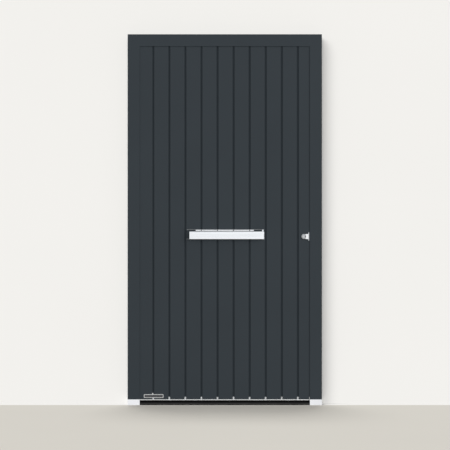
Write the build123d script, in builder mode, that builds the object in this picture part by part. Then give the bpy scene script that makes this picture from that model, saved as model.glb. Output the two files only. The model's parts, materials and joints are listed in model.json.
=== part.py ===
from build123d import *
import os

# Aluminium front door: a frame with a threshold, and a grooved leaf that swings indoors on three hinges.
# X runs from the hinge side to the lock side, Y from outdoors to indoors, Z up. The origin is on the floor
# in the middle of the threshold. Lengths are in millimetres.

# Frame
frame_width = 1100.0
frame_height = 2100.0
frame_depth = 80.0
frame_face = 68.0
lip_overhang = 20.0
lip_thickness = 2.5
foot_height = 31.5
clip_groove_width = 10.0
clip_groove_depth = 5.0
clip_groove_place = 24.0

# Wall fixings through the jambs
fixing_radius = 5.5
fixing_y = 0.0
outer_fixing_margin = 300.0
inner_fixing_margin = 720.0

# Threshold
sill_height = 17.0
nosing_height = 6.0
nosing_run = 7.0
thermal_break_start = 12.0
thermal_break_width = 10.0
thermal_break_drop = 1.0
indoor_sill_round = 4.0
tread_groove_width = 2.0
tread_groove_depth = 1.2
tread_groove_pitch = 5.0
outdoor_tread_grooves = 4
indoor_tread_grooves = 2

# Leaf
stop_gap = 5.0
edge_gap = 11.0
flange_gap = 5.5
flange_depth = 12.0
panel_thickness = 9.5
indoor_panel_round = 1.5
stile_width = 60.0
rail_height = 60.0
hardware_groove_width = 20.0
hardware_groove_depth = 3.0
hardware_groove_y = 4.0

# Grooves of the outdoor panel
groove_pitch = 91.1
groove_width = 12.8
groove_depth = 7.0
groove_shift = 4.0
groove_margin = 60.0

# Drip rail and seals
drip_height = 4.9
tab_height = 13.5
tab_inset = 2.4
tab_sheet = 1.8
end_tab_width = 3.0
end_tab_inset = 0.5
bottom_seal_width = 30.0
bottom_seal_gap = 1.0
bottom_seal_round = 2.5
seal_width = 6.0
seal_round = 2.5
seal_gap = 1.0

# Hinges
lower_hinge_height = 250.0
upper_hinge_drop = 300.0
hinge_offset_x = 4.5
hinge_offset_y = 12.0
hinge_length = 110.0
knuckle_radius = 11.0
pin_radius = 5.0
pin_clearance = 0.05
knuckle_gap = 0.5
leaf_knuckle_length = 46.0
wing_thickness = 4.0
wing_width = 38.0
wing_reach = 13.5
wing_corner = 6.0
tongue_thickness = 5.5
pin_head_radius = 8.0
pin_head_height = 4.0

# Pull handle
handle_height = 939.8
handle_left = -199.2
handle_plate_width = 420.6
handle_plate_height = 43.0
handle_sheet = 4.0
handle_edge_round = 1.0
handle_standoff = 50.0
back_plate_overhang = 15.3
back_plate_height = 54.8
back_plate_thickness = 6.0
back_plate_rim = 1.2
back_plate_recess = 3.0
web_half_length = 165.2
web_sheet = 3.0
web_bend = 3.0
web_flange_height = 26.0
web_clearance = 0.3
trim_drop = 1.2
trim_height = 6.5
trim_sheet = 3.0
trim_edge = 0.6
drain_width = 4.5
drain_bridge = 1.5
end_cap_width = 8.5
end_cap_bend = 8.0

# Lock
lock_backset = 41.5
cylinder_height = 954.5
lever_rise = 92.0
lock_rosette_radius = 15.75
lock_rosette_depth = 12.0
lock_rosette_bevel = 3.0
plug_radius = 8.5
plug_clearance = 0.4
plug_proud = 1.0
key_slot_width = 2.4
key_slot_height = 9.0
key_slot_depth = 6.0
pull_clearance = 0.3
pull_window = 1.2
pull_edge_gap = 5.0
pull_lip = 4.0
pull_lip_height = 46.0
pull_block_height = 28.5
pull_block_length = 16.0
pull_depth = 17.0
pull_lip_depth = 21.0
pull_flare = 3.0

# Locking bar in the leaf's edge
face_plate_margin = 90.0
bolt_width = 12.0
bolt_depth = 22.0
bolt_proud = 1.5
bolt_clearance = 0.4
latch_height = 32.0
dead_bolt_height = 38.0
hook_height = 44.0
lower_hook_height = 430.0
upper_hook_drop = 470.0
dead_bolt_rise = 31.0
bolt_bevel = 1.0
face_plate_round = 9.0
strike_width = 24.0
strike_length = 170.0
strike_end = 24.0
strike_corner = 3.0
strike_thickness = 2.5
strike_pocket_depth = 15.0
strike_pocket_play = 4.0

# Indoor lever and key cylinder
rosette_radius = 26.0
rosette_depth = 9.0
rosette_bevel = 2.0
collar_radius = 12.0
collar_depth = 6.0
lever_standoff = 44.0
lever_length = 130.0
lever_height = 20.0
lever_bar = 11.0
lever_bend = 6.0
lever_edge = 1.5
cylinder_stem_width = 10.0
cylinder_stem_drop = 19.5
cylinder_proud = 3.0

# Planes and edges worked out from the sizes above
outdoor_y = -frame_depth / 2
indoor_y = frame_depth / 2
lip_back_y = outdoor_y + lip_thickness
leaf_face_y = lip_back_y + stop_gap
panel_back_y = leaf_face_y + panel_thickness
flange_y = indoor_y - flange_depth
frame_half = frame_width / 2
opening_half = frame_half - frame_face
rebate_half = opening_half + lip_overhang
leaf_half = rebate_half - edge_gap
flange_half = rebate_half - flange_gap
opening_top = frame_height - frame_face
rebate_top = opening_top + lip_overhang
leaf_top = rebate_top - edge_gap
flange_top = rebate_top - flange_gap
panel_bottom = foot_height
leaf_bottom = panel_bottom - drip_height
sash_bottom = leaf_bottom + rail_height
sash_top = leaf_top - rail_height
sash_depth = flange_y - panel_back_y
sash_middle_y = (flange_y + panel_back_y) / 2

groove_count = int((2 * opening_half - 2 * groove_margin) // groove_pitch) + 1
groove_places = [
    groove_shift + groove_pitch * (index - (groove_count - 1) / 2) for index in range(groove_count)
]

os.makedirs("parts", exist_ok=True)


def save(piece, name):
    """Label a finished piece and write it to its own file."""
    piece.part.label = name
    export_step(piece.part, f"parts/{name}.step")


def profile_outline(outer, opening, rebate):
    """Corners of the frame profile: a box with the stop lip in front of the rebate."""
    return [
        (outer, outdoor_y),
        (opening, outdoor_y),
        (opening, lip_back_y),
        (rebate, lip_back_y),
        (rebate, indoor_y),
        (outer, indoor_y),
    ]


# Jambs, mitred at the top, and the feet that they stand on
lever_z = cylinder_height + lever_rise
upper_hook_height = frame_height - upper_hook_drop
strike_heights = {
    "lower_strike": lower_hook_height,
    "latch_strike": (cylinder_height + lever_z) / 2,
    "upper_strike": upper_hook_height,
}
fixing_heights = [
    outer_fixing_margin,
    inner_fixing_margin,
    frame_height - inner_fixing_margin,
    frame_height - outer_fixing_margin,
]

for name, side in (("hinge_jamb", -1), ("lock_jamb", 1)):
    with BuildPart() as jamb:
        with BuildSketch(Plane.XY.offset(foot_height)):
            with BuildLine():
                Polyline(
                    *profile_outline(side * frame_half, side * opening_half, side * rebate_half),
                    close=True,
                )
            make_face()
            groove_x = side * (frame_half - clip_groove_depth / 2)
            with Locations((groove_x, -clip_groove_place), (groove_x, clip_groove_place)):
                Rectangle(clip_groove_depth, clip_groove_width, mode=Mode.SUBTRACT)
        extrude(amount=frame_height - foot_height)
        split(
            bisect_by=Plane(origin=(side * frame_half, 0, frame_height), z_dir=(side, 0, -1)),
            keep=Keep.TOP,
        )
        with BuildSketch(Plane.YZ.offset(side * rebate_half)):
            with Locations(*[(fixing_y, height) for height in fixing_heights]):
                Circle(fixing_radius)
        extrude(amount=side * frame_face, mode=Mode.SUBTRACT)
        if name == "lock_jamb":
            with BuildSketch(Plane.YZ.offset(rebate_half)):
                with Locations(*[(hardware_groove_y, height) for height in strike_heights.values()]):
                    Rectangle(strike_width, strike_length)
                chamfer(vertices(), strike_corner)
            extrude(amount=strike_thickness, mode=Mode.SUBTRACT)
            with BuildSketch(Plane.YZ.offset(rebate_half)):
                with Locations(*[(hardware_groove_y, height) for height in strike_heights.values()]):
                    Rectangle(bolt_width + strike_pocket_play, strike_length - 2 * strike_end)
            extrude(amount=strike_pocket_depth, mode=Mode.SUBTRACT)
    save(jamb, name)

for name, side in (("hinge_foot", -1), ("lock_foot", 1)):
    with BuildPart() as foot:
        with BuildSketch():
            with BuildLine():
                Polyline(
                    *profile_outline(side * frame_half, side * opening_half, side * rebate_half),
                    close=True,
                )
            make_face()
        extrude(amount=foot_height)
    save(foot, name)

# Head, mitred at both ends
with BuildPart() as head:
    with BuildSketch(Plane.YZ):
        with BuildLine():
            Polyline(
                *[(y, z) for z, y in profile_outline(frame_height, opening_top, rebate_top)],
                close=True,
            )
        make_face()
        groove_z = frame_height - clip_groove_depth / 2
        with Locations((-clip_groove_place, groove_z), (clip_groove_place, groove_z)):
            Rectangle(clip_groove_width, clip_groove_depth, mode=Mode.SUBTRACT)
    extrude(amount=frame_half, both=True)
    for side in (-1, 1):
        split(
            bisect_by=Plane(origin=(side * frame_half, 0, frame_height), z_dir=(-side, 0, 1)),
            keep=Keep.TOP,
        )
save(head, "head")

# Threshold: outdoor sill with a bevelled nosing, thermal break and indoor sill
thermal_break_end = thermal_break_start + thermal_break_width

with BuildPart() as outdoor_sill:
    with BuildSketch(Plane.YZ):
        with BuildLine():
            Polyline(
                (outdoor_y, 0),
                (outdoor_y, nosing_height),
                (outdoor_y + nosing_run, sill_height),
                (thermal_break_start, sill_height),
                (thermal_break_start, 0),
                close=True,
            )
        make_face()
    extrude(amount=rebate_half, both=True)
    lip_corner = (lip_overhang, lip_thickness, sill_height)
    with Locations((-rebate_half, outdoor_y, 0)):
        Box(*lip_corner, align=Align.MIN, mode=Mode.SUBTRACT)
    with Locations((rebate_half, outdoor_y, 0)):
        Box(*lip_corner, align=(Align.MAX, Align.MIN, Align.MIN), mode=Mode.SUBTRACT)
    for index in range(outdoor_tread_grooves):
        with Locations((0, outdoor_y + nosing_run + tread_groove_pitch * (index + 1), sill_height)):
            Box(
                2 * rebate_half,
                tread_groove_width,
                tread_groove_depth,
                align=(Align.CENTER, Align.CENTER, Align.MAX),
                mode=Mode.SUBTRACT,
            )
save(outdoor_sill, "outdoor_sill")

with BuildPart() as thermal_break:
    with Locations((0, thermal_break_start, 0)):
        Box(
            2 * rebate_half,
            thermal_break_width,
            sill_height - thermal_break_drop,
            align=(Align.CENTER, Align.MIN, Align.MIN),
        )
save(thermal_break, "threshold_thermal_break")

with BuildPart() as indoor_sill:
    with Locations((0, thermal_break_end, 0)):
        Box(
            2 * rebate_half,
            indoor_y - thermal_break_end,
            sill_height,
            align=(Align.CENTER, Align.MIN, Align.MIN),
        )
    fillet(indoor_sill.edges().filter_by(Axis.X).group_by(Axis.Z)[-1].sort_by(Axis.Y)[-1], indoor_sill_round)
    for index in range(indoor_tread_grooves):
        with Locations((0, thermal_break_end + tread_groove_pitch * (index + 1), sill_height)):
            Box(
                2 * rebate_half,
                tread_groove_width,
                tread_groove_depth,
                align=(Align.CENTER, Align.CENTER, Align.MAX),
                mode=Mode.SUBTRACT,
            )
save(indoor_sill, "indoor_sill")

# Stop seals on the back of the lip, a round bead that ends just short of the leaf
seal_height = stop_gap - seal_gap
seal_half = (opening_half + leaf_half) / 2
seal_top = (opening_top + leaf_top) / 2

for name, side in (("hinge_side_seal", -1), ("lock_side_seal", 1)):
    with BuildPart() as jamb_seal:
        with BuildSketch(Plane.XY.offset(foot_height)):
            with Locations((side * seal_half, lip_back_y + seal_height / 2)):
                Rectangle(seal_width, seal_height)
            fillet(vertices().group_by(Axis.Y)[-1], seal_round)
        extrude(amount=seal_top - seal_width / 2 - foot_height)
    save(jamb_seal, name)

with BuildPart() as head_seal:
    with BuildSketch(Plane.YZ):
        with Locations((lip_back_y + seal_height / 2, seal_top)):
            Rectangle(seal_height, seal_width)
        fillet(vertices().group_by(Axis.X)[-1], seal_round)
    extrude(amount=seal_half + seal_width / 2, both=True)
save(head_seal, "head_seal")

# Strike plates let into the lock jamb
for name, height in strike_heights.items():
    with BuildPart() as strike:
        with BuildSketch(Plane.YZ.offset(rebate_half)):
            with Locations((hardware_groove_y, height)):
                Rectangle(strike_width, strike_length)
            chamfer(vertices(), strike_corner)
            with Locations((hardware_groove_y, height)):
                Rectangle(
                    bolt_width + strike_pocket_play,
                    strike_length - 2 * strike_end,
                    mode=Mode.SUBTRACT,
                )
        extrude(amount=strike_thickness)
    save(strike, name)

# Outdoor panel with its vertical grooves, and the seat of the drip rail's end tab beside the lock jamb
end_tab = (end_tab_width, tab_sheet, tab_height)

with BuildPart() as grooved_panel:
    with BuildSketch(Plane.XY.offset(panel_bottom)):
        with Locations((0, (leaf_face_y + panel_back_y) / 2)):
            Rectangle(2 * leaf_half, panel_thickness)
        with Locations(*[(place, leaf_face_y) for place in groove_places]):
            Polygon(
                (-groove_width / 2, 0),
                (groove_width / 2, 0),
                (0, groove_depth),
                align=None,
                mode=Mode.SUBTRACT,
            )
    extrude(amount=leaf_top - panel_bottom)
    with Locations((opening_half - end_tab_inset, leaf_face_y, panel_bottom)):
        Box(*end_tab, align=(Align.MAX, Align.MIN, Align.MIN), mode=Mode.SUBTRACT)
save(grooved_panel, "grooved_panel")

# Drip rail under the panel, with a folded tab lying deep in each groove
tab_half = groove_width / 2 * (1 - tab_inset / groove_depth)
tab_root = groove_depth - (groove_depth - tab_inset) * tab_sheet / tab_half

with BuildPart() as drip_rail:
    with Locations((0, leaf_face_y, leaf_bottom)):
        Box(
            2 * leaf_half,
            panel_thickness,
            drip_height,
            align=(Align.CENTER, Align.MIN, Align.MIN),
        )
    with BuildSketch(Plane.XY.offset(panel_bottom)):
        with Locations(*[(place, leaf_face_y) for place in groove_places]):
            Polygon(
                (-tab_half, tab_inset),
                (-tab_half + tab_sheet, tab_inset),
                (0, tab_root),
                (tab_half - tab_sheet, tab_inset),
                (tab_half, tab_inset),
                (0, groove_depth),
                align=None,
            )
    extrude(amount=tab_height)
    with Locations((opening_half - end_tab_inset, leaf_face_y, panel_bottom)):
        Box(*end_tab, align=(Align.MAX, Align.MIN, Align.MIN))
save(drip_rail, "drip_rail")

# Leaf frame: stiles between two rails, each with a hardware groove in its outer edge
lock_bolts = {
    "latch_bolt": [(lever_z, latch_height)],
    "dead_bolt": [(cylinder_height + dead_bolt_rise, dead_bolt_height)],
    "hook_bolts": [(lower_hook_height, hook_height), (upper_hook_height, hook_height)],
}

for name, side in (("hinge_stile", -1), ("lock_stile", 1)):
    with BuildPart() as stile:
        with BuildSketch(Plane.XY.offset(sash_bottom)):
            with Locations((side * (leaf_half - stile_width / 2), sash_middle_y)):
                Rectangle(stile_width, sash_depth)
            with Locations((side * (leaf_half - hardware_groove_depth / 2), hardware_groove_y)):
                Rectangle(hardware_groove_depth, hardware_groove_width, mode=Mode.SUBTRACT)
        extrude(amount=sash_top - sash_bottom)
        if name == "lock_stile":
            for places in lock_bolts.values():
                for height, length in places:
                    with Locations((leaf_half - hardware_groove_depth, hardware_groove_y, height)):
                        Box(
                            bolt_depth,
                            bolt_width + 2 * bolt_clearance,
                            length + 2 * bolt_clearance,
                            align=(Align.MAX, Align.CENTER, Align.CENTER),
                            mode=Mode.SUBTRACT,
                        )
    save(stile, name)

for name, bottom in (("bottom_rail", leaf_bottom), ("top_rail", sash_top)):
    with BuildPart() as rail:
        with Locations((0, panel_back_y, bottom)):
            Box(2 * leaf_half, sash_depth, rail_height, align=(Align.CENTER, Align.MIN, Align.MIN))
        if name == "top_rail":
            with Locations((0, hardware_groove_y, leaf_top)):
                Box(
                    2 * leaf_half,
                    hardware_groove_width,
                    hardware_groove_depth,
                    align=(Align.CENTER, Align.CENTER, Align.MAX),
                    mode=Mode.SUBTRACT,
                )
    save(rail, name)

with BuildPart() as core:
    with Locations((0, panel_back_y, sash_bottom)):
        Box(
            2 * (leaf_half - stile_width),
            sash_depth,
            sash_top - sash_bottom,
            align=(Align.CENTER, Align.MIN, Align.MIN),
        )
save(core, "insulation_core")

with BuildPart() as indoor_panel:
    with Locations((0, flange_y, leaf_bottom)):
        Box(
            2 * flange_half,
            flange_depth,
            flange_top - leaf_bottom,
            align=(Align.CENTER, Align.MIN, Align.MIN),
        )
    fillet(indoor_panel.faces().sort_by(Axis.Y)[-1].edges(), indoor_panel_round)
save(indoor_panel, "indoor_panel")

with BuildPart() as bottom_seal:
    with Locations((0, sash_middle_y, leaf_bottom)):
        Box(
            2 * leaf_half,
            bottom_seal_width,
            leaf_bottom - sill_height - bottom_seal_gap,
            align=(Align.CENTER, Align.CENTER, Align.MAX),
        )
    fillet(bottom_seal.edges().filter_by(Axis.X).group_by(Axis.Z)[0], bottom_seal_round)
save(bottom_seal, "bottom_seal")

# Locking bar: face plate and drawn-back bolts in the leaf's edge
face_plate_length = sash_top - sash_bottom - 2 * face_plate_margin

with BuildPart() as face_plate:
    with BuildSketch(Plane.YZ.offset(leaf_half - hardware_groove_depth)):
        with Locations((hardware_groove_y, (sash_bottom + sash_top) / 2)):
            RectangleRounded(hardware_groove_width, face_plate_length, face_plate_round)
        for places in lock_bolts.values():
            for height, length in places:
                with Locations((hardware_groove_y, height)):
                    Rectangle(
                        bolt_width + 2 * bolt_clearance,
                        length + 2 * bolt_clearance,
                        mode=Mode.SUBTRACT,
                    )
    extrude(amount=hardware_groove_depth)
save(face_plate, "lock_face_plate")

for name, places in lock_bolts.items():
    with BuildPart() as bolt:
        for height, length in places:
            with Locations((leaf_half + bolt_proud, hardware_groove_y, height)):
                Box(
                    bolt_proud + hardware_groove_depth + bolt_depth,
                    bolt_width,
                    length,
                    align=(Align.MAX, Align.CENTER, Align.CENTER),
                )
        chamfer(bolt.faces().group_by(Axis.X)[-1].edges().filter_by(Axis.Z), bolt_bevel)
    save(bolt, name)

# Three hinges: the frame wing carries the pin, and the leaf wing's knuckle turns on it
axis_x = -rebate_half + hinge_offset_x
axis_y = indoor_y + hinge_offset_y
end_knuckle = (hinge_length - leaf_knuckle_length) / 2
tongue_y = axis_y - knuckle_radius
upper_hinge_height = frame_height - upper_hinge_drop
hinge_heights = {
    "lower": lower_hinge_height,
    "middle": (lower_hinge_height + upper_hinge_height) / 2,
    "upper": upper_hinge_height,
}

for place, height in hinge_heights.items():
    foot_z = height - hinge_length / 2
    with BuildPart() as frame_wing:
        with Locations((axis_x - wing_reach, indoor_y, foot_z)):
            Box(wing_width, wing_thickness, hinge_length, align=(Align.MAX, Align.MIN, Align.MIN))
        fillet(frame_wing.edges().filter_by(Axis.Y).group_by(Axis.X)[0], wing_corner)
        for knuckle_z in (foot_z, foot_z + hinge_length - end_knuckle):
            with BuildSketch(Plane.XY.offset(knuckle_z)):
                with Locations((axis_x, axis_y)):
                    Circle(knuckle_radius)
                with Locations((axis_x, tongue_y)):
                    Rectangle(wing_reach + wing_thickness, tongue_thickness, align=(Align.MAX, Align.MIN))
            extrude(amount=end_knuckle)
        with Locations((axis_x, axis_y, foot_z)):
            Cylinder(pin_radius, hinge_length, align=(Align.CENTER, Align.CENTER, Align.MIN))
        with Locations((axis_x, axis_y, foot_z + hinge_length)):
            Cylinder(pin_head_radius, pin_head_height, align=(Align.CENTER, Align.CENTER, Align.MIN))
    save(frame_wing, f"{place}_hinge_frame_wing")

    with BuildPart() as leaf_wing:
        with Locations((axis_x + wing_reach, indoor_y, foot_z)):
            Box(wing_width, wing_thickness, hinge_length, align=Align.MIN)
        fillet(leaf_wing.edges().filter_by(Axis.Y).group_by(Axis.X)[-1], wing_corner)
        with BuildSketch(Plane.XY.offset(foot_z + end_knuckle + knuckle_gap)):
            with Locations((axis_x, axis_y)):
                Circle(knuckle_radius)
            with Locations((axis_x, tongue_y)):
                Rectangle(wing_reach + wing_thickness, tongue_thickness, align=(Align.MIN, Align.MIN))
            with Locations((axis_x, axis_y)):
                Circle(pin_radius + pin_clearance, mode=Mode.SUBTRACT)
        extrude(amount=leaf_knuckle_length - 2 * knuckle_gap)
    save(leaf_wing, f"{place}_hinge_leaf_wing")

# Pull handle: rimmed back plate, folded web, trim strip with drain notches, front plate and end cap
handle_front_y = leaf_face_y - handle_standoff
handle_back_y = handle_front_y + handle_sheet
plate_floor_y = leaf_face_y - back_plate_thickness + back_plate_recess
handle_right = handle_left + handle_plate_width
back_plate_left = handle_left - back_plate_overhang
handle_top = handle_height + handle_plate_height
back_plate_top = handle_height + back_plate_height
back_plate_width = handle_right - back_plate_left
trim_top = back_plate_top - back_plate_rim - trim_drop
end_cap_bottom = handle_height + back_plate_rim + web_clearance

with BuildPart() as back_plate:
    with Locations((back_plate_left, leaf_face_y, handle_height)):
        Box(
            back_plate_width,
            back_plate_thickness,
            back_plate_height,
            align=(Align.MIN, Align.MAX, Align.MIN),
        )
    with Locations((back_plate_left + back_plate_rim, plate_floor_y, handle_height + back_plate_rim)):
        Box(
            back_plate_width - 2 * back_plate_rim,
            back_plate_recess,
            back_plate_height - 2 * back_plate_rim,
            align=(Align.MIN, Align.MAX, Align.MIN),
            mode=Mode.SUBTRACT,
        )
save(back_plate, "handle_back_plate")

with BuildPart() as front_plate:
    with Locations((handle_left, handle_front_y, handle_height)):
        Box(handle_plate_width, handle_sheet, handle_plate_height, align=Align.MIN)
    fillet(front_plate.faces().sort_by(Axis.Y)[0].edges(), handle_edge_round)
save(front_plate, "handle_front_plate")

with BuildPart() as top_web:
    with BuildSketch(Plane.YZ):
        with BuildLine():
            Polyline(
                (handle_back_y, handle_top),
                (plate_floor_y, handle_top),
                (plate_floor_y, handle_top - web_flange_height),
                (plate_floor_y - web_sheet, handle_top - web_flange_height),
                (plate_floor_y - web_sheet, handle_top - web_sheet),
                (handle_back_y, handle_top - web_sheet),
                close=True,
            )
        make_face()
        inner_fold = (plate_floor_y - web_sheet, handle_top - web_sheet)
        outer_fold = (plate_floor_y, handle_top)
        fillet(vertices().sort_by_distance(inner_fold)[0], web_bend)
        fillet(vertices().sort_by_distance(outer_fold)[0], web_bend + web_sheet)
    extrude(amount=web_half_length, both=True)
save(top_web, "handle_top_web")

with BuildPart() as top_trim:
    with Locations((0, plate_floor_y, trim_top)):
        Box(2 * web_half_length, trim_sheet, trim_height, align=(Align.CENTER, Align.MAX, Align.MAX))
    chamfer(top_trim.faces().sort_by(Axis.Y)[0].edges().filter_by(Axis.X), trim_edge)
    for place in groove_places:
        if abs(place) < web_half_length - drain_width:
            with Locations((place, plate_floor_y - trim_sheet, trim_top)):
                Box(
                    drain_width,
                    trim_sheet,
                    trim_height - drain_bridge,
                    align=(Align.CENTER, Align.MIN, Align.MAX),
                    mode=Mode.SUBTRACT,
                )
save(top_trim, "handle_top_trim")

with BuildPart() as end_cap:
    with BuildSketch(Plane.YZ.offset(handle_right - back_plate_rim - web_clearance)):
        with BuildLine():
            Polyline(
                (handle_back_y, end_cap_bottom),
                (plate_floor_y, end_cap_bottom),
                (plate_floor_y, trim_top),
                (plate_floor_y - trim_sheet, trim_top),
                (plate_floor_y - trim_sheet, handle_top),
                (handle_back_y, handle_top),
                close=True,
            )
        make_face()
        fillet(vertices().sort_by_distance((plate_floor_y - trim_sheet, handle_top))[0], end_cap_bend)
    extrude(amount=-end_cap_width)
save(end_cap, "handle_end_cap")

# Lock outdoors: round rosette, key plug and the small pull that reaches over the rosette
lock_x = leaf_half - lock_backset
rosette_face_y = leaf_face_y - lock_rosette_depth
pull_right = opening_half - pull_edge_gap

with BuildPart() as lock_rosette:
    with BuildSketch(Plane.XZ.offset(-leaf_face_y)):
        with Locations((lock_x, cylinder_height)):
            Circle(lock_rosette_radius)
    extrude(amount=lock_rosette_depth)
    chamfer(lock_rosette.faces().sort_by(Axis.Y)[0].edges(), lock_rosette_bevel)
    with BuildSketch(Plane.XZ.offset(-leaf_face_y)):
        with Locations((lock_x, cylinder_height)):
            Circle(plug_radius + plug_clearance)
    extrude(amount=lock_rosette_depth, mode=Mode.SUBTRACT)
save(lock_rosette, "lock_rosette")

with BuildPart() as lock_plug:
    with BuildSketch(Plane.XZ.offset(-leaf_face_y)):
        with Locations((lock_x, cylinder_height)):
            Circle(plug_radius)
    extrude(amount=lock_rosette_depth + plug_proud)
    with Locations((lock_x, rosette_face_y - plug_proud, cylinder_height)):
        Box(
            key_slot_width,
            key_slot_depth,
            key_slot_height,
            align=(Align.CENTER, Align.MIN, Align.CENTER),
            mode=Mode.SUBTRACT,
        )
save(lock_plug, "lock_plug")

with BuildPart() as lock_pull:
    with BuildSketch(Plane.XZ.offset(-leaf_face_y)):
        with Locations((pull_right - pull_lip, cylinder_height)):
            Rectangle(pull_block_length, pull_block_height, align=(Align.MAX, Align.CENTER))
        with Locations((pull_right, cylinder_height)):
            Rectangle(pull_lip, pull_lip_height, align=(Align.MAX, Align.CENTER))
        for edge_z in (-pull_block_height / 2, pull_block_height / 2):
            inner_corner = (pull_right - pull_lip, cylinder_height + edge_z)
            fillet(vertices().sort_by_distance(inner_corner)[0], pull_flare)
        with Locations((lock_x, cylinder_height)):
            Circle(plug_radius + pull_window, mode=Mode.SUBTRACT)
    extrude(amount=pull_depth)
    with BuildSketch(Plane.XZ.offset(-leaf_face_y)):
        with Locations((lock_x, cylinder_height)):
            Circle(lock_rosette_radius + pull_clearance)
    extrude(amount=lock_rosette_depth + pull_clearance, mode=Mode.SUBTRACT)
    with Locations((pull_right, leaf_face_y, cylinder_height)):
        Box(pull_lip, pull_lip_depth, pull_lip_height, align=(Align.MAX, Align.MAX, Align.CENTER))
save(lock_pull, "lock_pull")

# Indoor furniture: lever on its rosette, and the key cylinder in its own rosette below
rosette_y = indoor_y + rosette_depth

with BuildPart() as lever_rosette:
    with BuildSketch(Plane.XZ.offset(-indoor_y)):
        with Locations((lock_x, lever_z)):
            Circle(rosette_radius)
    extrude(amount=-rosette_depth)
    chamfer(lever_rosette.faces().sort_by(Axis.Y)[-1].edges(), rosette_bevel)
save(lever_rosette, "lever_rosette")


def cylinder_outline(clearance):
    """Sketch of the key cylinder's section: a round barrel with a narrow stem below it."""
    with BuildSketch(Plane.XZ.offset(-indoor_y)) as outline:
        with Locations((lock_x, cylinder_height)):
            Circle(plug_radius + clearance)
        with Locations((lock_x, cylinder_height - cylinder_stem_drop)):
            Circle(cylinder_stem_width / 2 + clearance)
            Rectangle(
                cylinder_stem_width + 2 * clearance,
                cylinder_stem_drop,
                align=(Align.CENTER, Align.MIN),
            )
    return outline.sketch


with BuildPart() as cylinder_rosette:
    with BuildSketch(Plane.XZ.offset(-indoor_y)):
        with Locations((lock_x, cylinder_height)):
            Circle(rosette_radius)
    extrude(amount=-rosette_depth)
    chamfer(cylinder_rosette.faces().sort_by(Axis.Y)[-1].edges(), rosette_bevel)
    extrude(cylinder_outline(plug_clearance), amount=-rosette_depth, mode=Mode.SUBTRACT)
save(cylinder_rosette, "cylinder_rosette")

with BuildPart() as indoor_cylinder:
    extrude(cylinder_outline(0), amount=-(rosette_depth + cylinder_proud))
    with Locations((lock_x, rosette_y + cylinder_proud, cylinder_height)):
        Box(
            key_slot_width,
            key_slot_depth,
            key_slot_height,
            align=(Align.CENTER, Align.MAX, Align.CENTER),
            mode=Mode.SUBTRACT,
        )
save(indoor_cylinder, "indoor_cylinder")

with BuildPart() as lever:
    with BuildSketch(Plane.XY.offset(lever_z - lever_height / 2)):
        with Locations((lock_x + lever_bar / 2, rosette_y + lever_standoff)):
            Rectangle(lever_length, lever_bar, align=(Align.MAX, Align.MAX))
            Rectangle(lever_bar, lever_standoff, align=(Align.MAX, Align.MAX))
        inner_bend = (lock_x - lever_bar / 2, rosette_y + lever_standoff - lever_bar)
        outer_bend = (lock_x + lever_bar / 2, rosette_y + lever_standoff)
        fillet(vertices().sort_by_distance(inner_bend)[0], lever_bend)
        fillet(vertices().sort_by_distance(outer_bend)[0], lever_bend + lever_bar)
    extrude(amount=lever_height)
    chamfer(lever.faces().filter_by(Axis.Z).edges(), lever_edge)
    with BuildSketch(Plane.XZ.offset(-rosette_y)):
        with Locations((lock_x, lever_z)):
            Circle(collar_radius)
    extrude(amount=-collar_depth)
save(lever, "lever")
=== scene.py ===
import json
import math

import bmesh
import bpy
from mathutils import Matrix, Vector


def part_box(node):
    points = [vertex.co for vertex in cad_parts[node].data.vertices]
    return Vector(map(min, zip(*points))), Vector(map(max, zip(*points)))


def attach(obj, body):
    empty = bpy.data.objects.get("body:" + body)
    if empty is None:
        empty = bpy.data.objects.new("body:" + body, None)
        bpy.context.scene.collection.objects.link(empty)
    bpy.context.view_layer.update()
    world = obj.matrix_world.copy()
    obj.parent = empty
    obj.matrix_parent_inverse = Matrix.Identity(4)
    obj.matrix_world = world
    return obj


# Aluminium front door, dressed: powder-coated frame and grooved leaf, brushed handle, lock and hinges.
# Everything is in metres in the frame of the CAD model: X from the hinge side to the lock side,
# Y from outdoors to indoors, Z up, with the origin on the floor under the middle of the threshold.

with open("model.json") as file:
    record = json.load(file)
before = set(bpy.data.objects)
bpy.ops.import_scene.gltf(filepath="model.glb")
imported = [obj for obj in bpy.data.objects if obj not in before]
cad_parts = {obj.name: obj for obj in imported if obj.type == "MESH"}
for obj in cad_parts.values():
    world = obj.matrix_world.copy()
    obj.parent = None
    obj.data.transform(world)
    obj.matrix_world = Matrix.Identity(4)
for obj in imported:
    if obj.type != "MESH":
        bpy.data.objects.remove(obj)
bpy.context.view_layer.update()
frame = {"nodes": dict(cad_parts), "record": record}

MM = 0.001

# Camera
CAMERA_DISTANCE = 8.0
CAMERA_X = 0.0013
CAMERA_HEIGHT = 1.0197
VIEW_WIDTH = 2.5486
SENSOR_WIDTH = 36.0

# Lamps: side and rise as angles seen from the door, softness as the lamp's width, and strength
KEY = (34, 12, 36, 1.0)
DOOR_FILL = (2, 0, 36, 2.25)
INDOOR = (160, 40, 50, 3.2)
INDOOR_FILL = (-115, 25, 50, 2.0)
WALL_LAMP = (-28, 34, 40, 1.7)
WALL_FILL = (0, 16, 20, 1.5)
FLOOR_LAMP = (-172, 77, 20, 1.37)
FLOOR_FILL = (-40, 50, 40, 1.8)
AMBIENT = 0.15

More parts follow.
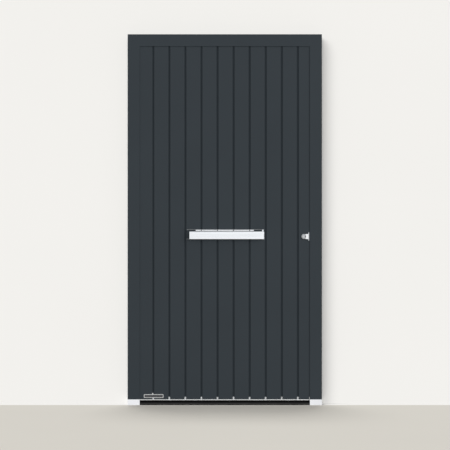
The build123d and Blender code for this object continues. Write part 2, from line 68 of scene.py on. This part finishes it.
# Colours, linear
PAINT = (0.0248, 0.0310, 0.0362)
WALL = (0.888, 0.876, 0.846)
FLOOR = (0.66, 0.635, 0.58)
SKY = (0.93, 0.945, 0.96)
FOOT = (0.745, 0.755, 0.775)
SILL = (0.0065, 0.0063, 0.0060)
# Painted highlight on the threshold nosing's bevel
SILL_HIGHLIGHT = (0.056, 0.055, 0.054)
BLACK = (0.006, 0.006, 0.006)
RUBBER = (0.003, 0.003, 0.003)
FOAM = (0.70, 0.57, 0.32)
ANODISED = (0.80, 0.815, 0.83)
SATIN = (0.78, 0.785, 0.80)
STEEL = (0.56, 0.57, 0.58)
HINGE = (0.60, 0.61, 0.62)
BRUSHED = (0.885, 0.91, 0.945)
CHROME = (0.90, 0.91, 0.925)
LIP = (0.55, 0.56, 0.575)
ROSETTE = (0.42, 0.43, 0.445)
# Painted highlight on the handle back plate's top and bottom rims
RIM_HIGHLIGHT = (0.42, 0.43, 0.44)
PLATE_FIELD = (0.05, 0.052, 0.055)

# Painted highlight on the lower edge of the threshold's nosing, where light catches its bevel, as a range
# of Z
HIGHLIGHT_BOTTOM = 5.5 * MM
HIGHLIGHT_TOP = 12.0 * MM

# Insulating strips between the shells of the frame and leaf profiles, as a range of Y, on faces
# whose normal has less than this share along Y
BREAK_OUTDOOR = -20.0 * MM
BREAK_INDOOR = -8.0 * MM
SIDE_FACING = 0.5

# Blank plate near the foot of the hinge side, and the tab behind it
PLATE_LEFT = -458.4 * MM
PLATE_RIGHT = -347.9 * MM
PLATE_BOTTOM = 39.6 * MM
PLATE_TOP = 60.3 * MM
PLATE_THICKNESS = 1.4 * MM
PLATE_RIM = 3.0 * MM
PLATE_RECESS = 0.5 * MM
PLATE_EDGE = 0.3 * MM
PLATE_FLANK = 0.2 * MM
PLATE_CORNER = 2.0 * MM
PLATE_INNER_CORNER = 0.4 * MM
PLATE_CORNER_STEPS = 4
PLATE_TAB_X = -408.3 * MM
PLATE_TAB_WIDTH = 6.2 * MM
PLATE_TAB_BOTTOM = 50.0 * MM
PLATE_TAB_TOP = 67.4 * MM
PLATE_TAB_PROUD = 0.6 * MM
PLATE_TAB_SUNK = 2.0 * MM
PLATE_TAB_EDGE = 0.3 * MM

# Screw heads, and where they sit
SCREW_RADIUS = 4.2 * MM
SCREW_PROUD = 0.5 * MM
SCREW_SIDES = 24
SCREW_LOBES = 6
SCREW_LOBE_DEPTH = 0.14
HINGE_PLACES = ("lower", "middle", "upper")
WING_THICKNESS = 4.0 * MM
WING_WIDTH = 38.0 * MM
WING_SPOTS = ((0.3, 40.0 * MM), (0.7, 14.0 * MM), (0.3, -14.0 * MM), (0.7, -40.0 * MM))
STRIKE_MARGIN = 12.0 * MM
FACE_PLATE_SHARES = (0.015, 0.16, 0.30, 0.42, 0.60, 0.74, 0.88, 0.985)

# Pull of the lock outdoors: its upright lip, its block's height off the panel, its round key window
# and the black insert in that window, which is painted shadow where the pull shades the window
PULL_LIP = 4.0 * MM
PULL_DEPTH = 17.0 * MM
WINDOW_RADIUS = 9.65 * MM
SHADE_INSERT_OFFSET = 5.0 * MM
SHADE_INSERT_SINK = 0.6 * MM
SHADE_INSERT_EDGE = 0.4 * MM
SHADE_INSERT_STEPS = 14

# Floor and wall behind the door
FLOOR_HALF_WIDTH = 8.0
FLOOR_FRONT = -10.0
FLOOR_BACK = 5.0
WALL_HALF_WIDTH = 3.4
WALL_HEIGHT = 3.4
WALL_OVERLAP = 20.0 * MM
WALL_GAP = 1.0 * MM


# Node helpers
def start_material(name):
    """A new node material and its Principled shader."""
    material = bpy.data.materials.new(name)
    material.use_nodes = True
    return material, material.node_tree, material.node_tree.nodes["Principled BSDF"]


def add(tree, kind, inputs=None, **settings):
    """A node with its settings and unlinked inputs filled in."""
    node = tree.nodes.new(kind)
    for key, value in settings.items():
        setattr(node, key, value)
    for key, value in (inputs or {}).items():
        node.inputs[key].default_value = value
    return node


def place(tree, stretch=(1.0, 1.0, 1.0)):
    """Object position, stretched along its axes."""
    coordinates = add(tree, "ShaderNodeTexCoord")
    mapping = add(tree, "ShaderNodeMapping", {"Scale": stretch})
    tree.links.new(coordinates.outputs["Object"], mapping.inputs["Vector"])
    return mapping.outputs["Vector"]


def noise(tree, scale, stretch=(1.0, 1.0, 1.0), detail=2.0, vector=None):
    """Noise over the object's own position, as a factor."""
    texture = add(tree, "ShaderNodeTexNoise", {"Scale": scale, "Detail": detail})
    tree.links.new(vector or place(tree, stretch), texture.inputs["Vector"])
    return texture.outputs["Fac"]


def spread(tree, factor, low, high):
    """The noise factor's usual range mapped to low and high."""
    mapped = add(
        tree,
        "ShaderNodeMapRange",
        {"From Min": 0.3, "From Max": 0.7, "To Min": low, "To Max": high},
    )
    tree.links.new(factor, mapped.inputs["Value"])
    return mapped.outputs["Result"]


def blend_colors(tree, factor, first, second):
    """A colour between two, each a tuple or a socket."""
    mix = add(tree, "ShaderNodeMix", data_type="RGBA")
    tree.links.new(factor, mix.inputs["Factor"])
    for socket, color in ((mix.inputs["A"], first), (mix.inputs["B"], second)):
        if isinstance(color, tuple):
            socket.default_value = (*color, 1.0)
        else:
            tree.links.new(color, socket)
    return mix.outputs["Result"]


def shade(color, share):
    """The colour made lighter or darker by a share."""
    return tuple(min(1.0, channel * share) for channel in color)


def bump(tree, shader, layers):
    """Stacked bump layers of (height factor, strength, distance)."""
    normal = None
    for height, strength, distance in layers:
        node = add(tree, "ShaderNodeBump", {"Strength": strength, "Distance": distance})
        tree.links.new(height, node.inputs["Height"])
        if normal:
            tree.links.new(normal, node.inputs["Normal"])
        normal = node.outputs["Normal"]
    tree.links.new(normal, shader.inputs["Normal"])


def calculate(tree, operation, first, second):
    """A math node on two inputs, each a number or a socket."""
    node = add(tree, "ShaderNodeMath", operation=operation)
    for socket, value in zip(node.inputs, (first, second)):
        if isinstance(value, (int, float)):
            socket.default_value = value
        else:
            tree.links.new(value, socket)
    return node.outputs["Value"]


def tint(tree, shader, factor, color, low, high):
    """Base colour that a noise factor varies between two shares of a colour."""
    tone = blend_colors(tree, spread(tree, factor, 0.0, 1.0), shade(color, low), shade(color, high))
    tree.links.new(tone, shader.inputs["Base Color"])


def overlay(tree, shader, factor, color):
    """Blends a colour over the base colour that the shader already has."""
    below = shader.inputs["Base Color"].links[0].from_socket
    tree.links.new(blend_colors(tree, factor, below, color), shader.inputs["Base Color"])


def axes(tree, output):
    """The X, Y and Z of a texture coordinate."""
    coordinates = add(tree, "ShaderNodeTexCoord")
    parts = add(tree, "ShaderNodeSeparateXYZ")
    tree.links.new(coordinates.outputs[output], parts.inputs["Vector"])
    return parts.outputs


# Materials
def powder_coat(name, color):
    """Matt powder coat: fine grain, soft orange peel and a very slight cloudiness."""
    material, tree, shader = start_material(name)
    grain = noise(tree, 1500.0, detail=3.0)
    peel = noise(tree, 260.0)
    cloud = noise(tree, 3.0, detail=4.0)
    tint(tree, shader, cloud, color, 0.965, 1.035)
    tree.links.new(spread(tree, grain, 0.46, 0.58), shader.inputs["Roughness"])
    shader.inputs["Specular IOR Level"].default_value = 0.17
    bump(tree, shader, [(peel, 0.12, 0.0004), (grain, 0.18, 0.0001)])
    return material


def insulated_profile(name, color, strip_color):
    """Powder coat with the black insulating strip that shows on the narrow sides of a profile."""
    material = powder_coat(name, color)
    tree = material.node_tree
    shader = tree.nodes["Principled BSDF"]
    position = axes(tree, "Object")["Y"]
    facing = axes(tree, "Normal")["Y"]
    inside = calculate(
        tree,
        "MULTIPLY",
        calculate(tree, "GREATER_THAN", position, BREAK_OUTDOOR),
        calculate(tree, "LESS_THAN", position, BREAK_INDOOR),
    )
    sideways = calculate(tree, "LESS_THAN", calculate(tree, "ABSOLUTE", facing, 0.0), SIDE_FACING)
    overlay(tree, shader, calculate(tree, "MULTIPLY", inside, sideways), strip_color)
    return material


def paint_with_rim_highlight(name, color, rim_highlight_color, floor_y, lower_rim, upper_rim):
    """Powder coat whose rims outdoors of the floor, below one height and above another, are painted as
    bright bare metal: a painted highlight where light catches them.
    """
    material = powder_coat(name, color)
    tree = material.node_tree
    shader = tree.nodes["Principled BSDF"]
    position = axes(tree, "Object")
    edge = calculate(
        tree,
        "MAXIMUM",
        calculate(tree, "LESS_THAN", position["Z"], lower_rim),
        calculate(tree, "GREATER_THAN", position["Z"], upper_rim),
    )
    # Painted highlight: bright metal only on the rims that catch the light
    rim = calculate(tree, "MULTIPLY", calculate(tree, "LESS_THAN", position["Y"], floor_y), edge)
    overlay(tree, shader, rim, rim_highlight_color)
    tree.links.new(rim, shader.inputs["Metallic"])
    return material


def dark_anodised(name, color, highlight_color):
    """Dull dark aluminium with drawn lines along X, and a patchy painted highlight at the nosing's lower
    edge.
    """
    material, tree, shader = start_material(name)
    stretch = (0.01, 1.0, 1.0)
    line = noise(tree, 1200.0, stretch, detail=4.0)
    streak = noise(tree, 160.0, stretch)
    metal = blend_colors(tree, spread(tree, streak, 0.0, 1.0), shade(color, 0.8), shade(color, 1.25))
    # Painted highlight: lighter towards the nosing's lower edge, where light catches the bevel
    height = axes(tree, "Object")["Z"]
    fade = add(
        tree,
        "ShaderNodeMapRange",
        {"From Min": HIGHLIGHT_BOTTOM, "From Max": HIGHLIGHT_TOP, "To Min": 1.0, "To Max": 0.0},
    )
    tree.links.new(height, fade.inputs["Value"])
    above = calculate(tree, "GREATER_THAN", height, HIGHLIGHT_BOTTOM)
    nosing_highlight = calculate(tree, "MULTIPLY", fade.outputs["Result"], above)
    patchy_highlight = calculate(tree, "MULTIPLY", nosing_highlight, spread(tree, noise(tree, 12.0, detail=4.0), 0.6, 1.0))
    tree.links.new(blend_colors(tree, patchy_highlight, metal, highlight_color), shader.inputs["Base Color"])
    tree.links.new(spread(tree, line, 0.52, 0.68), shader.inputs["Roughness"])
    shader.inputs["Specular IOR Level"].default_value = 0.07
    bump(tree, shader, [(line, 0.15, 0.00006)])
    return material


def moulded_plastic(name, color, roughness):
    """Injection-moulded plastic with a fine spark-eroded grain."""
    material, tree, shader = start_material(name)
    grain = noise(tree, 1100.0, detail=3.0)
    cloud = noise(tree, 9.0, detail=3.0)
    tint(tree, shader, cloud, color, 0.95, 1.04)
    tree.links.new(spread(tree, grain, roughness - 0.06, roughness + 0.06), shader.inputs["Roughness"])
    shader.inputs["Specular IOR Level"].default_value = 0.4
    bump(tree, shader, [(grain, 0.2, 0.0001)])
    return material


def brushed_metal(name, color, along, roughness):
    """Metal brushed along one axis: long fine scratches in gloss, tone and height."""
    material, tree, shader = start_material(name)
    stretch = tuple(0.012 if axis == along else 1.0 for axis in "XYZ")
    scratch = noise(tree, 900.0, stretch, detail=4.0)
    streak = noise(tree, 150.0, stretch)
    tint(tree, shader, streak, color, 0.955, 1.03)
    tree.links.new(spread(tree, scratch, roughness - 0.07, roughness + 0.07), shader.inputs["Roughness"])
    shader.inputs["Metallic"].default_value = 1.0
    bump(tree, shader, [(streak, 0.05, 0.0002), (scratch, 0.12, 0.00005)])
    return material


def lipped_metal(name, color, lip_color, roughness, lip_x):
    """Upright brushed metal, darker in colour on the lip beyond one place along X."""
    material = brushed_metal(name, color, "Z", roughness)
    tree = material.node_tree
    shader = tree.nodes["Principled BSDF"]
    lip = calculate(tree, "GREATER_THAN", axes(tree, "Object")["X"], lip_x)
    overlay(tree, shader, lip, lip_color)
    return material


def turned_metal(name, color, roughness, centre):
    """Metal turned about an axis along Y: fine rings round the centre."""
    material, tree, shader = start_material(name)
    coordinates = add(tree, "ShaderNodeTexCoord")
    offset = add(tree, "ShaderNodeVectorMath", {1: (centre[0], 0.0, centre[2])}, operation="SUBTRACT")
    tree.links.new(coordinates.outputs["Object"], offset.inputs[0])
    flat = add(tree, "ShaderNodeVectorMath", {1: (1.0, 0.0, 1.0)}, operation="MULTIPLY")
    tree.links.new(offset.outputs["Vector"], flat.inputs[0])
    radius = add(tree, "ShaderNodeVectorMath", operation="LENGTH")
    tree.links.new(flat.outputs["Vector"], radius.inputs[0])
    ring_place = add(tree, "ShaderNodeCombineXYZ")
    tree.links.new(radius.outputs["Value"], ring_place.inputs["X"])
    ring = noise(tree, 2200.0, detail=3.0, vector=ring_place.outputs["Vector"])
    cloud = noise(tree, 60.0)
    tint(tree, shader, ring, color, 0.94, 1.03)
    tree.links.new(spread(tree, cloud, roughness - 0.05, roughness + 0.05), shader.inputs["Roughness"])
    shader.inputs["Metallic"].default_value = 1.0
    bump(tree, shader, [(ring, 0.1, 0.00005)])
    return material


def rubber(name, color):
    """Extruded rubber: dull, with faint drawn lines and bloom."""
    material, tree, shader = start_material(name)
    bloom = noise(tree, 40.0, detail=5.0)
    grain = noise(tree, 1800.0)
    tint(tree, shader, bloom, color, 0.8, 1.4)
    tree.links.new(spread(tree, bloom, 0.62, 0.78), shader.inputs["Roughness"])
    shader.inputs["Specular IOR Level"].default_value = 0.15
    bump(tree, shader, [(grain, 0.15, 0.0001)])
    return material


def rigid_foam(name, color):
    """Rigid insulation foam with small cells."""
    material, tree, shader = start_material(name)
    cells = add(tree, "ShaderNodeTexVoronoi", {"Scale": 600.0})
    tree.links.new(place(tree), cells.inputs["Vector"])
    tree.links.new(
        blend_colors(tree, cells.outputs["Distance"], shade(color, 1.05), shade(color, 0.75)),
        shader.inputs["Base Color"],
    )
    tree.links.new(spread(tree, noise(tree, 90.0), 0.82, 0.95), shader.inputs["Roughness"])
    bump(tree, shader, [(cells.outputs["Distance"], 0.4, 0.0006)])
    return material


def centre_of(node):
    """The middle of a CAD node's box."""
    low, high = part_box(node)
    return (low + high) / 2


materials = {
    "anthracite_paint": powder_coat("anthracite_paint", PAINT),
    "foot_plastic": moulded_plastic("foot_plastic", FOOT, 0.42),
    "sill_metal": dark_anodised("sill_metal", SILL, SILL_HIGHLIGHT),
    "black_plastic": moulded_plastic("black_plastic", BLACK, 0.55),
    "seal_rubber": rubber("seal_rubber", RUBBER),
    "foam": rigid_foam("foam", FOAM),
    "drip_aluminium": brushed_metal("drip_aluminium", ANODISED, "X", 0.38),
    "steel": brushed_metal("steel", STEEL, "Z", 0.32),
    "hinge_metal": brushed_metal("hinge_metal", HINGE, "Z", 0.34),
    "brushed_steel": brushed_metal("brushed_steel", BRUSHED, "X", 0.30),
    "lock_metal": brushed_metal("lock_metal", CHROME, "Z", 0.22),
}
for subpart in frame["record"]["subparts"]:
    node = frame["nodes"][subpart["node"]]
    node.data.materials.clear()
    node.data.materials.append(materials[subpart["material_slot"]])


def dress(node, material):
    """Gives a CAD node a finish of its own."""
    frame["nodes"][node].data.materials[0] = material


for name, color in (
    ("lock_rosette", ROSETTE),
    ("lock_plug", STEEL),
    ("lever_rosette", BRUSHED),
    ("cylinder_rosette", BRUSHED),
):
    dress(name, turned_metal(f"{name}_turned", color, 0.24, centre_of(name)))

lip_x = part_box("lock_pull")[1].x - PULL_LIP
dress("lock_pull", lipped_metal("pull_chrome", CHROME, LIP, 0.22, lip_x))

profile_paint = insulated_profile("profile_paint", PAINT, BLACK)
for name in ("hinge_jamb", "lock_jamb", "head", "hinge_stile", "lock_stile", "top_rail", "bottom_rail"):
    dress(name, profile_paint)

dress("handle_top_trim", brushed_metal("trim_satin", SATIN, "X", 0.42))
trim_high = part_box("handle_top_trim")[1]
cap_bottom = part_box("handle_end_cap")[0].z
# The back plate's top and bottom rims carry a painted highlight
dress(
    "handle_back_plate",
    paint_with_rim_highlight("back_plate_paint", PAINT, RIM_HIGHLIGHT, trim_high.y - MM, cap_bottom, trim_high.z),
)


# Mesh helpers
def finish_piece(mesh, name, body, material):
    """Makes an object of a finished bmesh, gives it its material and lets it ride on a body."""
    bmesh.ops.recalc_face_normals(mesh, faces=mesh.faces)
    data = bpy.data.meshes.new(name)
    mesh.to_mesh(data)
    mesh.free()
    data.materials.append(material)
    piece = bpy.data.objects.new(name, data)
    bpy.context.scene.collection.objects.link(piece)
    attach(piece, body)
    return piece


def add_ring(mesh, matrix, radius_at, height):
    """A closed ring of vertices in the matrix's XY plane, at a height along its Z."""
    ring = []
    for index in range(SCREW_SIDES):
        turn = 2 * math.pi * index / SCREW_SIDES
        radius = radius_at(turn)
        point = Vector((radius * math.cos(turn), radius * math.sin(turn), height))
        ring.append(mesh.verts.new(matrix @ point))
    return ring


def join_rings(mesh, rings):
    """Closes rings of equal length into one skin, and gives the face on the last ring."""
    count = len(rings[0])
    for first, second in zip(rings, rings[1:]):
        for index in range(count):
            after = (index + 1) % count
            mesh.faces.new((first[index], first[after], second[after], second[index]))
    end = mesh.faces.new(rings[-1])
    mesh.faces.new(reversed(rings[0]))
    return end


def add_screw(mesh, spot, outward):
    """A raised countersunk head with a lobed recess, standing on a spot."""
    facing = Vector(outward).to_track_quat("Z", "Y").to_matrix().to_4x4()
    matrix = Matrix.Translation(spot) @ facing

    def round_radius(share):
        return lambda turn: share * SCREW_RADIUS

    def lobed_radius(share):
        return lambda turn: SCREW_RADIUS * share * (1 + SCREW_LOBE_DEPTH * math.cos(SCREW_LOBES * turn))

    rings = [
        add_ring(mesh, matrix, round_radius(1.0), -SCREW_PROUD),
        add_ring(mesh, matrix, round_radius(1.0), 0.2 * SCREW_PROUD),
        add_ring(mesh, matrix, round_radius(0.86), 0.7 * SCREW_PROUD),
        add_ring(mesh, matrix, round_radius(0.66), SCREW_PROUD),
        add_ring(mesh, matrix, lobed_radius(0.46), SCREW_PROUD),
        add_ring(mesh, matrix, lobed_radius(0.40), -SCREW_PROUD),
    ]
    join_rings(mesh, rings)


def make_screws(name, body, slot, spots, outward):
    """All screws of one kind as one piece."""
    mesh = bmesh.new()
    for spot in spots:
        add_screw(mesh, spot, outward)
    finish_piece(mesh, name, body, materials[slot])


# Screws on the hinges, the strikes and the lock's face plate
def wing_spots(node):
    """Four places on the flat part of a hinge wing."""
    low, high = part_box(node)
    edge = low.x if node.endswith("frame_wing") else high.x - WING_WIDTH
    middle = (low.z + high.z) / 2
    indoor_face = low.y + WING_THICKNESS
    return [
        Vector((edge + across * WING_WIDTH, indoor_face, middle + rise)) for across, rise in WING_SPOTS
    ]


for body in ("frame", "leaf"):
    spots = [spot for place_name in HINGE_PLACES for spot in wing_spots(f"{place_name}_hinge_{body}_wing")]
    make_screws(f"hinge_{body}_screws", body, "hinge_metal", spots, (0, 1, 0))

strike_spots = []
for strike in ("lower_strike", "latch_strike", "upper_strike"):
    low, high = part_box(strike)
    for height in (low.z + STRIKE_MARGIN, high.z - STRIKE_MARGIN):
        strike_spots.append(Vector((low.x, (low.y + high.y) / 2, height)))
make_screws("strike_screws", "frame", "steel", strike_spots, (-1, 0, 0))

low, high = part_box("lock_face_plate")
face_plate_spots = [
    Vector((high.x, (low.y + high.y) / 2, low.z + share * (high.z - low.z)))
    for share in FACE_PLATE_SHARES
]
make_screws("face_plate_screws", "leaf", "steel", face_plate_spots, (1, 0, 0))


panel_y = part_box("grooved_panel")[0].y


# Blank plate on the panel, and the tab behind it
def make_blank_plate():
    """A plate with rounded corners, a bright rim and a sunk plain field."""
    mesh = bmesh.new()

    def outline(inset, depth):
        left, right = PLATE_LEFT + inset, PLATE_RIGHT - inset
        bottom, top = PLATE_BOTTOM + inset, PLATE_TOP - inset
        radius = max(PLATE_CORNER - inset, PLATE_INNER_CORNER)
        points = []
        for corner_x, corner_z, start in (
            (right - radius, top - radius, 0),
            (left + radius, top - radius, 90),
            (left + radius, bottom + radius, 180),
            (right - radius, bottom + radius, 270),
        ):
            for step in range(PLATE_CORNER_STEPS + 1):
                turn = math.radians(start + 90 * step / PLATE_CORNER_STEPS)
                x, z = corner_x + radius * math.cos(turn), corner_z + radius * math.sin(turn)
                points.append((x, panel_y - depth, z))
        return [mesh.verts.new(point) for point in points]

    rings = [
        outline(0.0, 0.0),
        outline(0.0, PLATE_THICKNESS - PLATE_EDGE),
        outline(PLATE_EDGE, PLATE_THICKNESS),
        outline(PLATE_RIM, PLATE_THICKNESS),
        outline(PLATE_RIM + PLATE_FLANK, PLATE_THICKNESS - PLATE_RECESS),
    ]
    field = join_rings(mesh, rings)
    field.material_index = 1
    plate = finish_piece(mesh, "blank_plate", "leaf", materials["drip_aluminium"])
    plate.data.materials.append(moulded_plastic("plate_field", PLATE_FIELD, 0.35))


def make_plate_tab():
    """An upright tab in the groove behind the plate, whose end shows above it."""
    size = (PLATE_TAB_WIDTH, PLATE_TAB_PROUD + PLATE_TAB_SUNK, PLATE_TAB_TOP - PLATE_TAB_BOTTOM, 1.0)
    middle = Vector(
        (
            PLATE_TAB_X,
            panel_y + (PLATE_TAB_SUNK - PLATE_TAB_PROUD) / 2,
            (PLATE_TAB_BOTTOM + PLATE_TAB_TOP) / 2,
        )
    )
    mesh = bmesh.new()
    bmesh.ops.create_cube(mesh, size=1.0, matrix=Matrix.Translation(middle) @ Matrix.Diagonal(size))
    bmesh.ops.bevel(mesh, geom=mesh.edges[:], offset=PLATE_TAB_EDGE, segments=2, affect="EDGES")
    finish_piece(mesh, "plate_tab", "leaf", materials["drip_aluminium"])


make_blank_plate()
make_plate_tab()


# Painted shadow: a black insert in the window of the lock's pull
def make_painted_shade_insert():
    """A black insert that fills the lock side of the round window, in front of the plug's rim: painted
    shadow where the pull shades the window.
    """
    centre = centre_of("lock_plug")
    back_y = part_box("lock_plug")[0].y
    front_y = panel_y - PULL_DEPTH + SHADE_INSERT_SINK
    mesh = bmesh.new()

    def outline(inset, y):
        radius = WINDOW_RADIUS - inset
        half_turn = math.acos((SHADE_INSERT_OFFSET + inset) / radius)
        ring = []
        for step in range(SHADE_INSERT_STEPS + 1):
            turn = half_turn * (2 * step / SHADE_INSERT_STEPS - 1)
            x, z = centre.x + radius * math.cos(turn), centre.z + radius * math.sin(turn)
            ring.append(mesh.verts.new((x, y, z)))
        return ring

    join_rings(
        mesh,
        [outline(0.0, back_y), outline(0.0, front_y + SHADE_INSERT_EDGE), outline(SHADE_INSERT_EDGE, front_y)],
    )
    finish_piece(mesh, "painted_shade_insert", "leaf", materials["black_plastic"])


make_painted_shade_insert()


# Stage: floor that has the wall's colour from the frame's outdoor face inwards, and a wall that is seen
# only from outdoors
def stage_plane(name, corners, faces, material):
    """A flat backdrop that isn't part of the door."""
    data = bpy.data.meshes.new(name)
    data.from_pydata(corners, [], faces)
    data.materials.append(material)
    plane = bpy.data.objects.new(name, data)
    bpy.context.scene.collection.objects.link(plane)
    return plane


def plaster(name, color):
    """Plain dull surface with a trace of cloudiness."""
    material, tree, shader = start_material(name)
    cloud = noise(tree, 1.2, detail=3.0)
    tint(tree, shader, cloud, color, 0.995, 1.005)
    shader.inputs["Roughness"].default_value = 0.9
    shader.inputs["Specular IOR Level"].default_value = 0.0
    return material


jamb_low, jamb_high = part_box("hinge_jamb")
wall_y = jamb_high.y + WALL_GAP
floor_material = plaster("floor", FLOOR)
tree = floor_material.node_tree
across = axes(tree, "Object")["Y"]
indoors = calculate(tree, "GREATER_THAN", across, jamb_low.y)
overlay(tree, tree.nodes["Principled BSDF"], indoors, WALL)
floor = stage_plane(
    "floor",
    [
        (-FLOOR_HALF_WIDTH, FLOOR_FRONT, 0),
        (FLOOR_HALF_WIDTH, FLOOR_FRONT, 0),
        (FLOOR_HALF_WIDTH, FLOOR_BACK, 0),
        (-FLOOR_HALF_WIDTH, FLOOR_BACK, 0),
    ],
    [(0, 1, 2, 3)],
    floor_material,
)

wall_material = plaster("wall", WALL)
tree = wall_material.node_tree
geometry = add(tree, "ShaderNodeNewGeometry")
light_path = add(tree, "ShaderNodeLightPath")
unseen = calculate(
    tree,
    "MULTIPLY",
    geometry.outputs["Backfacing"],
    light_path.outputs["Is Camera Ray"],
)
see_through = add(tree, "ShaderNodeBsdfTransparent")
wall_mix = add(tree, "ShaderNodeMixShader")
tree.links.new(unseen, wall_mix.inputs["Fac"])
tree.links.new(tree.nodes["Principled BSDF"].outputs["BSDF"], wall_mix.inputs[1])
tree.links.new(see_through.outputs["BSDF"], wall_mix.inputs[2])
tree.links.new(wall_mix.outputs["Shader"], tree.nodes["Material Output"].inputs["Surface"])

hole_half = -jamb_low.x - WALL_OVERLAP
hole_top = jamb_high.z - WALL_OVERLAP
wall = stage_plane(
    "wall",
    [
        (-WALL_HALF_WIDTH, wall_y, 0),
        (-hole_half, wall_y, 0),
        (-hole_half, wall_y, hole_top),
        (hole_half, wall_y, hole_top),
        (hole_half, wall_y, 0),
        (WALL_HALF_WIDTH, wall_y, 0),
        (WALL_HALF_WIDTH, wall_y, WALL_HEIGHT),
        (-WALL_HALF_WIDTH, wall_y, WALL_HEIGHT),
        (-hole_half, wall_y, WALL_HEIGHT),
        (hole_half, wall_y, WALL_HEIGHT),
    ],
    [(0, 1, 2, 8, 7), (2, 3, 9, 8), (3, 4, 5, 6, 9)],
    wall_material,
)
# Neither backdrop tints the door or keeps the lamps off it
for backdrop in (floor, wall):
    backdrop.visible_diffuse = False
    backdrop.visible_shadow = False


# Light
def add_sun(name, lamp, receivers):
    """A soft sun that lights only the receivers."""
    side, rise, softness, strength = lamp
    side, rise = math.radians(side), math.radians(rise)
    data = bpy.data.lights.new(name, "SUN")
    data.angle = math.radians(softness)
    data.energy = strength
    sun = bpy.data.objects.new(name, data)
    towards = Vector((math.sin(side) * math.cos(rise), -math.cos(side) * math.cos(rise), math.sin(rise)))
    sun.rotation_mode = "QUATERNION"
    sun.rotation_quaternion = towards.to_track_quat("Z", "Y")
    bpy.context.scene.collection.objects.link(sun)
    lit = bpy.data.collections.new(f"{name}_receivers")
    for receiver in receivers:
        lit.objects.link(receiver)
    sun.light_linking.receiver_collection = lit
    return sun


door = [piece for piece in bpy.context.scene.objects if piece.type == "MESH" and piece not in (floor, wall)]
add_sun("key", KEY, door)
add_sun("door_fill", DOOR_FILL, door).visible_glossy = False
add_sun("indoor", INDOOR, door).visible_glossy = False
add_sun("indoor_fill", INDOOR_FILL, door).visible_glossy = False
add_sun("wall_lamp", WALL_LAMP, [wall])
add_sun("wall_fill", WALL_FILL, [wall])
add_sun("floor_lamp", FLOOR_LAMP, [floor])
add_sun("floor_fill", FLOOR_FILL, [floor])

world = bpy.data.worlds.new("studio")
bpy.context.scene.world = world
world.use_nodes = True
tree = world.node_tree
background = tree.nodes["Background"]
background.inputs["Color"].default_value = (1.0, 1.0, 1.0, 1.0)
background.inputs["Strength"].default_value = AMBIENT
shown = add(tree, "ShaderNodeBackground", {"Color": (*SKY, 1.0), "Strength": 1.0})
light_path = add(tree, "ShaderNodeLightPath")
either = calculate(
    tree,
    "MAXIMUM",
    light_path.outputs["Is Camera Ray"],
    light_path.outputs["Is Glossy Ray"],
)
any_seen = calculate(tree, "MAXIMUM", either, light_path.outputs["Is Transmission Ray"])
world_mix = add(tree, "ShaderNodeMixShader")
tree.links.new(any_seen, world_mix.inputs["Fac"])
tree.links.new(background.outputs["Background"], world_mix.inputs[1])
tree.links.new(shown.outputs["Background"], world_mix.inputs[2])
tree.links.new(world_mix.outputs["Shader"], tree.nodes["World Output"].inputs["Surface"])

# Camera, level and square to the door
camera_data = bpy.data.cameras.new("camera")
camera_data.sensor_width = SENSOR_WIDTH
camera_data.lens = SENSOR_WIDTH * CAMERA_DISTANCE / VIEW_WIDTH
camera = bpy.data.objects.new("camera", camera_data)
camera.location = (CAMERA_X, jamb_low.y - CAMERA_DISTANCE, CAMERA_HEIGHT)
camera.rotation_euler = (math.radians(90), 0, 0)
bpy.context.scene.collection.objects.link(camera)
bpy.context.scene.camera = camera

bpy.context.scene.view_settings.view_transform = "Standard"
